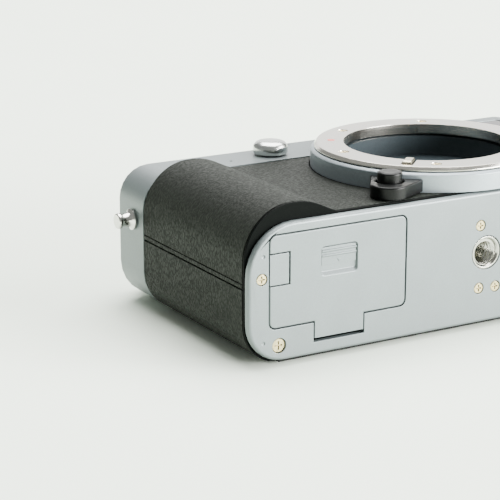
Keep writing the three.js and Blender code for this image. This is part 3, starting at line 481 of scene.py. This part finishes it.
def circuit_board():
    """Glass-epoxy board under green solder mask: satin, with the copper lines raised under it."""
    def build(tree, mm):
        lines = add(tree, "ShaderNodeTexBrick", {
            "Vector": mm, "Scale": 0.55, "Mortar Size": 0.035, "Color1": rgba(linear("#1F5A3A")),
            "Color2": rgba(linear("#1A4E33")), "Mortar": rgba(linear("#3E8A56"))})
        bump = add(tree, "ShaderNodeBump", {
            "Strength": 0.3, "Distance": 0.05 * MM, "Height": lines.outputs["Fac"]})
        return add(tree, "ShaderNodeBsdfPrincipled", {
            "Base Color": lines.outputs["Color"], "Roughness": 0.38, "Normal": bump.outputs[0]})
    return surface("green_circuit_board", build)


def enamel(name, c):
    """Enamel run into a small recess: glossy, and thin enough to pool darker at places."""
    def build(tree, mm):
        pool = add(tree, "ShaderNodeTexNoise", {"Vector": mm, "Scale": 1 / 0.8, "Detail": 2.0})
        base = ramp(tree, pool.outputs["Fac"], [(0.3, tone(c, 0.8)), (0.7, tone(c, 1.1))])
        return add(tree, "ShaderNodeBsdfPrincipled", {
            "Base Color": base, "Roughness": 0.3, "Coat Weight": 0.4, "Coat Roughness": 0.15})
    return surface(name, build)


def floor_paper():
    """Matt white table top: nearly even, with a breath of mottle."""
    c = tuple(bpy.context.scene.camera_body_colours.floor)

    def build(tree, mm):
        mottle = add(tree, "ShaderNodeTexNoise", {"Vector": mm, "Scale": 1 / 60.0, "Detail": 3.0})
        base = ramp(tree, mottle.outputs["Fac"], [(0.3, tone(c, 0.985)), (0.7, c)])
        return add(tree, "ShaderNodeBsdfPrincipled", {
            "Base Color": base, "Roughness": 0.75, "Specular IOR Level": 0.1})
    return surface("matt_white_table", build)


def steel_of(node, axis="Z", name=None, code=None, roughness=0.22):
    c = linear(code) if code else tuple(bpy.context.scene.camera_body_colours.steel)
    return turned_metal(name or f"turned_steel_{node}", c, roughness, middle(node), axis)


# ---- pieces ----
def chosen(context):
    """The sizes and the colours set in the sidebar."""
    return context.scene.camera_body_sizes, context.scene.camera_body_colours


def latch_thumb_piece(silver):
    """Sliding thumb piece: a flat plate with two raised ribs, and a skirt behind the door."""
    low, high = [(corner - ZERO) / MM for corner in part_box("door_latch")]
    face = low.y
    rib = 0.24
    rest = face + rib
    thick = 0.2
    margin = 1.3
    plate_low = low.z + 3.3
    plate_high = LATCH_PLATE_TOP
    outline = [
        (rest + thick, plate_low), (rest, plate_low), (rest, plate_low + 1.9), (face, plate_low + 2.1),
        (face, plate_low + 2.4), (rest, plate_low + 2.6), (rest, plate_high - 1.2), (face, plate_high - 1.0),
        (face, plate_high - 0.7), (rest, plate_high - 0.5), (rest, plate_high), (rest + thick, plate_high),
    ]
    bm = swept(outline, low.x + margin, high.x - margin)
    skirt = high.y - 0.6
    skirt_outline = [(skirt, low.z), (skirt, high.z), (high.y, high.z), (high.y, low.z)]
    swept(skirt_outline, low.x, high.x, bm=bm)
    stem_outline = [(rest + 0.1, plate_low + 0.5), (rest + 0.1, plate_high - 1.5),
                    (skirt + 0.1, plate_high - 1.5), (skirt + 0.1, plate_low + 0.5)]
    swept(stem_outline, low.x + margin + 2.0, high.x - margin - 2.0, bm=bm)
    mark_x = (low.x + high.x) / 2
    mark_z = plate_low + 0.75
    corners = [(mark_x - 0.45, mark_z + 0.4), (mark_x + 0.45, mark_z + 0.4), (mark_x, mark_z - 0.35)]
    top = [bm.verts.new((x, rest - 0.1, z)) for x, z in corners]
    foot = [bm.verts.new((x, rest + 0.05, z)) for x, z in corners]
    bm.faces.new(top)
    bm.faces.new(foot)
    for k in range(3):
        bm.faces.new((top[k], top[(k + 1) % 3], foot[(k + 1) % 3], foot[k]))
    new_piece("door_latch_thumb_piece", bm, silver, "door_latch", ["door_latch"],
              edge=0.05 * MM)


class CAMERABODY_OT_silver_shell(bpy.types.Operator):
    """Bottom plate, top cover, battery door, its flap and latch"""
    bl_idname = "camerabody.silver_shell"
    bl_label = "Silver shell"

    def execute(self, context):
        sizes, _ = chosen(context)
        silver = silver_paint()
        dress(["bottom_plate", "battery_door", "cable_flap"], silver, 0.1 * MM)
        dress(["top_cover"], silver, sizes.edge)
        latch_thumb_piece(silver)
        return {"FINISHED"}


class CAMERABODY_OT_leather(bpy.types.Operator):
    """The four pieces of leather"""
    bl_idname = "camerabody.leather"
    bl_label = "Leather"

    def execute(self, context):
        dress([n for n in NODES if n.startswith("leather_")], leather(), 0.12 * MM)
        return {"FINISHED"}


class CAMERABODY_OT_casting(bpy.types.Operator):
    """Black inner casting and light box"""
    bl_idname = "camerabody.casting"
    bl_label = "Inner casting"

    def execute(self, context):
        dress(["chassis"], black_paint(), 0.15 * MM)
        # The baffle's blue-grey colour is partly painted reflection: it stands for the bluish sheen on its
        # black wall.
        dress(["light_box"], plastic("baffle_black_painted_sheen", linear("#2C3438"), 0.5), 0.08 * MM)
        dress(["shutter_unit", "battery_box", "finder_module"], plastic(), 0.1 * MM)
        return {"FINISHED"}


class CAMERABODY_OT_lens_mount(bpy.types.Operator):
    """Silver collar, steel ring with screws, lock pin, red index dot and gold contacts"""
    bl_idname = "camerabody.lens_mount"
    bl_label = "Lens mount"

    def execute(self, context):
        sizes, colours = chosen(context)
        # The collar gets a brighter copy of the silver lacquer, a painted highlight.
        dress(["mount_collar"], silver_paint("satin_silver_collar_painted_highlight", tuple(colours.collar)), 0.15 * MM)
        dress(["mount_ring"], steel_of("mount_ring", roughness=0.2), 0.08 * MM, limit=28)
        dress(["lens_lock_pin"], plated("plated_lock_pin", linear("#C9C2AE"), 0.25), 0.06 * MM)
        # 0.85 sets how strongly painted shade darkens the cross recesses of the screws.
        dress([f"mount_screw_{k}" for k in range(1, 7)],
              plated("nickel_plated_screw_painted_shade", tuple(colours.screw), 0.28, 0.85), 0.04 * MM)
        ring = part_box("mount_ring")
        centre = middle("mount_ring")
        reach = INDEX_RADIUS * MM
        turn = math.radians(INDEX_TURN)
        spot = Vector((centre.x + reach * math.cos(turn), centre.y + reach * math.sin(turn), ring[1].z))
        r = sizes.index_dot / MM / 2
        new_piece("lens_index_dot", turned([(r, -0.05), (r, 0.02), (r - 0.12, 0.05)], 32),
                  enamel("red_index_enamel", tuple(colours.index)), ROOT, place=Matrix.Translation(spot))
        dress(["contact_block"], plastic(), 0.05 * MM)
        gold = plated("gold_plated_contact", linear("#E0B860"), 0.22)
        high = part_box("contact_block")[1]
        pads = bmesh.new()
        axis = Vector((centre.x, centre.y, 0)) / MM
        for k in range(CONTACTS):
            a = math.radians(-90 + (k - (CONTACTS - 1) / 2) * CONTACT_STEP)
            p = axis + CONTACT_RADIUS * Vector((math.cos(a), math.sin(a), 0))
            p.z = high.z / MM
            pin = bmesh.ops.create_cone(pads, segments=16, radius1=0.55, radius2=0.42, depth=0.5,
                                        cap_ends=True)
            bmesh.ops.translate(pads, vec=p - Vector((0, 0, 0.05)), verts=pin["verts"])
        new_piece("lens_contacts", pads, gold, ROOT, place=Matrix.Identity(4))
        return {"FINISHED"}


class CAMERABODY_OT_release(bpy.types.Operator):
    """Lens release button and the housing round it"""
    bl_idname = "camerabody.release"
    bl_label = "Lens release"

    def execute(self, context):
        gloss = plastic("release_housing_plastic", linear("#050606"), 0.34, 0.16)
        dress(["release_housing"], gloss, 0.15 * MM)
        low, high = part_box("release_button")
        r = (high.x - low.x) / MM / 2
        top = (high.z - low.z) / MM
        profile = [(r - 0.2, 0), (r, 0.2), (r, top - 0.5), (r - 0.1, top - 0.25), (r - 0.35, top - 0.08),
                   (r - 0.6, top), (r - 1.4, top - 0.04), (r - 2.2, top - 0.1)]
        spot = middle("release_button")
        spot.z = low.z
        cap = plastic("release_button_plastic", linear("#060707"), 0.34, 0.18)
        new_piece("release_button_cap", turned(profile, 96), cap, "release_button", ["release_button"],
                  Matrix.Translation(spot))
        return {"FINISHED"}


class CAMERABODY_OT_tripod_socket(bpy.types.Operator):
    """Threaded tripod socket"""
    bl_idname = "camerabody.tripod_socket"
    bl_label = "Tripod socket"

    def execute(self, context):
        sizes, _ = chosen(context)
        steel = plated("nickel_plated_socket", linear("#B9B8B0"), 0.2)
        dress(["tripod_socket"], steel, 0.06 * MM)
        pitch = sizes.thread_pitch / MM
        bm = bmesh.new()
        steps, rise, outer, inner = 72, 8, 3.19, 2.62
        y0, y1 = 0.95, 7.6
        rows = int((y1 - y0) / pitch * rise)
        grid = []
        for j in range(rows + 1):
            y = y0 + (y1 - y0) * j / rows
            row = []
            for k in range(steps):
                phase = (y / pitch - k / steps) % 1.0
                wave = min(1.0, max(0.0, abs(phase - 0.5) * 2.6 - 0.15))
                r = inner + (outer - 0.06 - inner) * wave
                a = 2 * math.pi * k / steps
                row.append(bm.verts.new((r * math.cos(a), y, r * math.sin(a))))
            grid.append(row)
        turns = [2 * math.pi * k / steps for k in range(steps)]
        back = [[bm.verts.new((outer * math.cos(a), y, outer * math.sin(a))) for a in turns]
                for y in (y1, y0)]
        loops = grid + back
        for low, high in zip(loops, loops[1:] + loops[:1]):
            for k in range(steps):
                n = (k + 1) % steps
                bm.faces.new((low[k], low[n], high[n], high[k]))
        spot = at(THREAD_AT[0], 0, THREAD_AT[1])
        new_piece("tripod_thread", bm, steel, ROOT, place=Matrix.Translation(spot))
        return {"FINISHED"}


class CAMERABODY_OT_plate_screws(bpy.types.Operator):
    """Small cross-head screws of the bottom plate"""
    bl_idname = "camerabody.plate_screws"
    bl_label = "Plate screws"

    def execute(self, context):
        _, colours = chosen(context)
        # 0.85 sets how strongly painted shade darkens the cross recesses of the screws.
        nickel = plated("nickel_plated_screw_painted_shade", tuple(colours.screw), 0.28, 0.85)
        dress([f"plate_screw_{k}" for k in range(1, 7)], nickel)
        dress(["door_hinge_pin"], plated("hinge_pin_steel", linear("#B4B4B0"), 0.3), 0.05 * MM)
        return {"FINISHED"}


class CAMERABODY_OT_strap_lugs(bpy.types.Operator):
    """Polished strap studs and the knob on the front"""
    bl_idname = "camerabody.strap_lugs"
    bl_label = "Strap lugs and front knob"

    def execute(self, context):
        cover_low, cover_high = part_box("top_cover")
        for name, side, wall in (("grip", -1, cover_low.x), ("far", 1, cover_high.x)):
            point = middle(f"strap_lug_{name}")
            point.x = wall
            profile = [(1.0, -2.5), (1.0, 0.29), (2.45, 0.3), (2.65, 0.42), (2.65, 0.75), (2.5, 0.92),
                       (2.1, 1.12), (1.85, 1.4), (1.72, 1.9), (1.62, 2.5), (1.55, 3.0), (1.6, 3.25),
                       (1.85, 3.45), (1.95, 3.6), (1.95, 4.2), (1.88, 4.4), (1.75, 4.54), (1.6, 4.6)]
            node = f"strap_lug_{name}"
            new_piece(f"{node}_stud", turned(profile, 64),
                      turned_metal(f"polished_stud_{name}", linear("#D9D8D2"), 0.14, point, "X", 0.3, 0.002),
                      ROOT, [node], seat(point, (side, 0, 0)))
        low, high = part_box("front_knob")
        spot = middle("front_knob")
        spot.z = low.z
        tall = (high.z - low.z) / MM
        profile = [(2.0, 0), (2.0, tall - 3.4), (4.0, tall - 3.39), (4.3, tall - 3.28), (4.44, tall - 3.0),
                   (4.5, tall - 2.4), (4.48, tall - 1.8), (4.36, tall - 1.3), (4.1, tall - 0.85),
                   (3.7, tall - 0.5), (3.1, tall - 0.22), (2.3, tall - 0.07), (1.4, tall), (0.6, tall)]
        new_piece("front_knob_cap", turned(profile, 96),
                  turned_metal("turned_knob_aluminium", linear("#C9CCC9"), 0.24, spot),
                  "front_knob", ["front_knob"], Matrix.Translation(spot))
        return {"FINISHED"}


class CAMERABODY_OT_top_controls(bpy.types.Operator):
    """Dials, shutter button, power collar, function button and accessory shoe"""
    bl_idname = "camerabody.top_controls"
    bl_label = "Top controls"

    def execute(self, context):
        sizes, _ = chosen(context)
        deep = sizes.knurl_depth / MM
        ink = enamel("black_engraving_enamel", linear("#202322"))
        for name, ridges in (("shutter_dial", 56), ("exposure_dial", 44)):
            low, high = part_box(name)
            r = (high.x - low.x) / MM / 2
            tall = (high.y - low.y) / MM
            start = SHANK
            spot = middle(name)
            spot.y = low.y
            profile = [(2.0, 0), (2.0, start), (r - 0.35, start + 0.01), (r - 0.1, start + 0.25),
                       (r, start + 0.5, deep), (r, tall - 0.75, deep), (r - 0.12, tall - 0.45),
                       (r - 0.45, tall - 0.12), (r - 0.8, tall), (r - 2.4, tall), (r - 2.6, tall - 0.12),
                       (1.0, tall - 0.12)]
            face = turned_metal(f"spun_aluminium_{name}", linear("#B8BCBA"), 0.3, spot, "Y")
            new_piece(f"{name}_cap", turned(profile, ridges * 4, ridges=ridges), face, name, [name],
                      seat(spot, (0, 1, 0)))
            marks = bmesh.new()
            count = {"shutter_dial": 16, "exposure_dial": 13}[name]
            for k in range(count):
                turn = 2 * math.pi * k / count
                tick = bmesh.ops.create_cube(marks, size=1)["verts"]
                bmesh.ops.scale(marks, vec=(1.3 if k % 4 else 1.8, 0.22, 0.05), verts=tick)
                bmesh.ops.translate(marks, vec=(r - 1.6, 0, tall + 0.005), verts=tick)
                bmesh.ops.rotate(marks, matrix=Matrix.Rotation(turn, 3, "Z"), verts=tick)
            new_piece(f"{name}_ticks", marks, ink, name, place=seat(spot, (0, 1, 0)))
        low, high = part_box("shutter_button")
        tall = (high.y - low.y) / MM
        spot = middle("shutter_button")
        spot.y = low.y
        profile = [(1.5, 0), (1.5, 3.2), (4.0, 3.21), (4.2, 3.4), (4.2, tall - 0.5), (4.1, tall - 0.2),
                   (3.8, tall - 0.02), (3.3, tall - 0.12), (2.6, tall - 0.32), (1.7, tall - 0.46),
                   (1.5, tall - 0.48), (1.2, tall - 0.8), (1.1, tall - 1.8)]
        new_piece("shutter_button_cap", turned(profile, 96),
                  turned_metal("turned_shutter_button", linear("#CFCFCA"), 0.18, spot, "Y"),
                  "shutter_button", ["shutter_button"], seat(spot, (0, 1, 0)))
        dress(["power_collar", "top_button"], silver_paint(), 0.12 * MM)
        dress(["accessory_shoe"], plated("brushed_shoe_steel", linear("#B9BAB6"), 0.3), 0.12 * MM)
        return {"FINISHED"}


class CAMERABODY_OT_rear(bpy.types.Operator):
    """Rear shell, screen, buttons, pad and thumb wheel"""
    bl_idname = "camerabody.rear"
    bl_label = "Rear"

    def execute(self, context):
        black = plastic()
        dress(["rear_shell"], black, 0.15 * MM)
        dress(["rear_button_1", "rear_button_2", "rear_button_3", "direction_pad", "ok_button"],
              plastic("control_button_plastic", None, 0.38), 0.12 * MM)
        dress(["screen_glass"], glass("coated_screen_glass", "#0B0E12", 0.0, 0.03), 0.12 * MM)
        dress(["screen_panel"], circuit_board(), 0.1 * MM)
        low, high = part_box("thumb_wheel")
        r = (high.x - low.x) / MM / 2
        tall = (high.y - low.y) / MM
        spot = middle("thumb_wheel")
        spot.y = low.y
        profile = [(r - 1.2, 0), (r - 0.5, 0.0), (r - 0.1, 0.35), (r, 0.6, 0.28), (r, tall - 0.6, 0.28),
                   (r - 0.1, tall - 0.35), (r - 0.5, tall), (r - 1.2, tall)]
        new_piece("thumb_wheel_knurl", turned(profile, 112, ridges=28), plastic("wheel_plastic", None, 0.4),
                  "thumb_wheel", ["thumb_wheel"], seat(spot, (0, 1, 0)))
        return {"FINISHED"}


class CAMERABODY_OT_viewfinder(bpy.types.Operator):
    """Front window, eyepiece and dioptre dial"""
    bl_idname = "camerabody.viewfinder"
    bl_label = "Viewfinder"

    def execute(self, context):
        dress(["finder_window"], glass("coated_finder_window", "#0A0E11"), 0.1 * MM)
        dress(["eyepiece"], rubber(), 0.3 * MM)
        dress(["terminal_cover"], rubber(), 0.15 * MM)
        low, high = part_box("dioptre_dial")
        r = (high.x - low.x) / MM / 2
        tall = (high.z - low.z) / MM
        spot = middle("dioptre_dial")
        spot.z = high.z
        profile = [(r, 0, 0.18), (r, tall - 0.4, 0.18), (r - 0.15, tall - 0.15), (r - 0.4, tall),
                   (0.5, tall - 0.05)]
        new_piece("dioptre_dial_knurl", turned(profile, 96, ridges=24), plastic("wheel_plastic", None, 0.4),
                  "dioptre_dial", ["dioptre_dial"], seat(spot, (0, 0, -1)))
        return {"FINISHED"}


class CAMERABODY_OT_inside(bpy.types.Operator):
    """Battery, memory card, sensor and main board"""
    bl_idname = "camerabody.inside"
    bl_label = "Inside"

    def execute(self, context):
        dress(["battery"], plastic("battery_film_wrap", linear("#2A2D30"), 0.34), 0.25 * MM)
        dress(["memory_card"], plastic("memory_card_plastic", linear("#1E2E48"), 0.4), 0.1 * MM)
        dress(["main_board"], circuit_board(), 0.05 * MM)
        dress(["sensor"], glass("coated_sensor_filter", "#0E2A2A", 420.0, 0.02), 0.05 * MM)
        return {"FINISHED"}


class CAMERABODY_OT_stage(bpy.types.Operator):
    """Pale table, soft light and the camera"""
    bl_idname = "camerabody.stage"
    bl_label = "Stage"

    def execute(self, context):
        scene = bpy.context.scene
        bm = bmesh.new()
        bmesh.ops.create_grid(bm, x_segments=1, y_segments=1, size=4.0)
        mesh = bpy.data.meshes.new("table")
        bm.to_mesh(mesh)
        bm.free()
        mesh.materials.append(floor_paper())
        table = bpy.data.objects.new("table", mesh)
        scene.collection.objects.link(table)

        world = bpy.data.worlds.new("studio")
        scene.world = world
        world.use_nodes = True
        back = world.node_tree.nodes["Background"]
        back.inputs["Color"].default_value = rgba(linear("#F2F5F2"))
        back.inputs["Strength"].default_value = 0.42

        # name, place, aim, width and height in metres, power in watts
        lights = [
            ("overhead softbox", (0.35, 0.45, 1.5), (0.1, 0.25, 0), (1.7, 1.7), 118),
            ("right softbox", (1.5, -0.95, 1.0), (0, 0, 0.02), (1.2, 0.9), 54),
            ("front right card", (0.95, -1.3, 0.32), (0, 0, 0.03), (1.2, 0.55), 130),
            ("backdrop card", (0.95, 1.65, 0.55), (0, 0, 0.03), (2.2, 0.9), 14),
        ]
        for name, place, aim, (wide, tall), power in lights:
            lamp = bpy.data.lights.new(name, "AREA")
            lamp.shape = "RECTANGLE"
            lamp.size = wide
            lamp.size_y = tall
            lamp.energy = power
            lamp.color = (1.0, 0.995, 0.98)
            shown = bpy.data.objects.new(name, lamp)
            scene.collection.objects.link(shown)
            shown.location = place
            shown.rotation_mode = "QUATERNION"
            shown.rotation_quaternion = (Vector(aim) - Vector(place)).to_track_quat("-Z", "Y")

        lens = bpy.data.cameras.new("camera")
        lens.lens = VIEW_LENS
        lens.sensor_width = 36.0
        lens.clip_start = 0.01
        lens.clip_end = 20.0
        view = bpy.data.objects.new("camera", lens)
        scene.collection.objects.link(view)
        view.location = at(*VIEW_FROM)
        view.rotation_mode = "QUATERNION"
        view.rotation_quaternion = (at(*VIEW_TO) - view.location).to_track_quat("-Z", "Y")
        scene.camera = view
        return {"FINISHED"}


MAKERS = (
    CAMERABODY_OT_stage, CAMERABODY_OT_silver_shell, CAMERABODY_OT_leather, CAMERABODY_OT_casting,
    CAMERABODY_OT_lens_mount, CAMERABODY_OT_release, CAMERABODY_OT_tripod_socket,
    CAMERABODY_OT_plate_screws, CAMERABODY_OT_strap_lugs, CAMERABODY_OT_top_controls,
    CAMERABODY_OT_rear, CAMERABODY_OT_viewfinder, CAMERABODY_OT_inside,
)


class CAMERABODY_PT_panel(bpy.types.Panel):
    """Sizes, colours and makers of the camera body"""
    bl_idname = "CAMERABODY_PT_panel"
    bl_label = "Camera body"
    bl_space_type = "VIEW_3D"
    bl_region_type = "UI"
    bl_category = "Camera body"

    def draw(self, context):
        for group in (context.scene.camera_body_sizes, context.scene.camera_body_colours):
            box = self.layout.box()
            for name in group.__annotations__:
                box.prop(group, name)
        for maker in MAKERS:
            self.layout.operator(maker.bl_idname)


CLASSES = (CameraBodySizes, CameraBodyColours, *MAKERS, CAMERABODY_PT_panel)


def register():
    for made in CLASSES:
        bpy.utils.register_class(made)
    bpy.types.Scene.camera_body_sizes = bpy.props.PointerProperty(type=CameraBodySizes)
    bpy.types.Scene.camera_body_colours = bpy.props.PointerProperty(type=CameraBodyColours)


def unregister():
    del bpy.types.Scene.camera_body_sizes
    del bpy.types.Scene.camera_body_colours
    for made in reversed(CLASSES):
        bpy.utils.unregister_class(made)


def main():
    register()
    for maker in MAKERS:
        group, name = maker.bl_idname.split(".")
        getattr(getattr(bpy.ops, group), name)()
    bpy.context.view_layer.update()


if __name__ == "__main__":
    main()
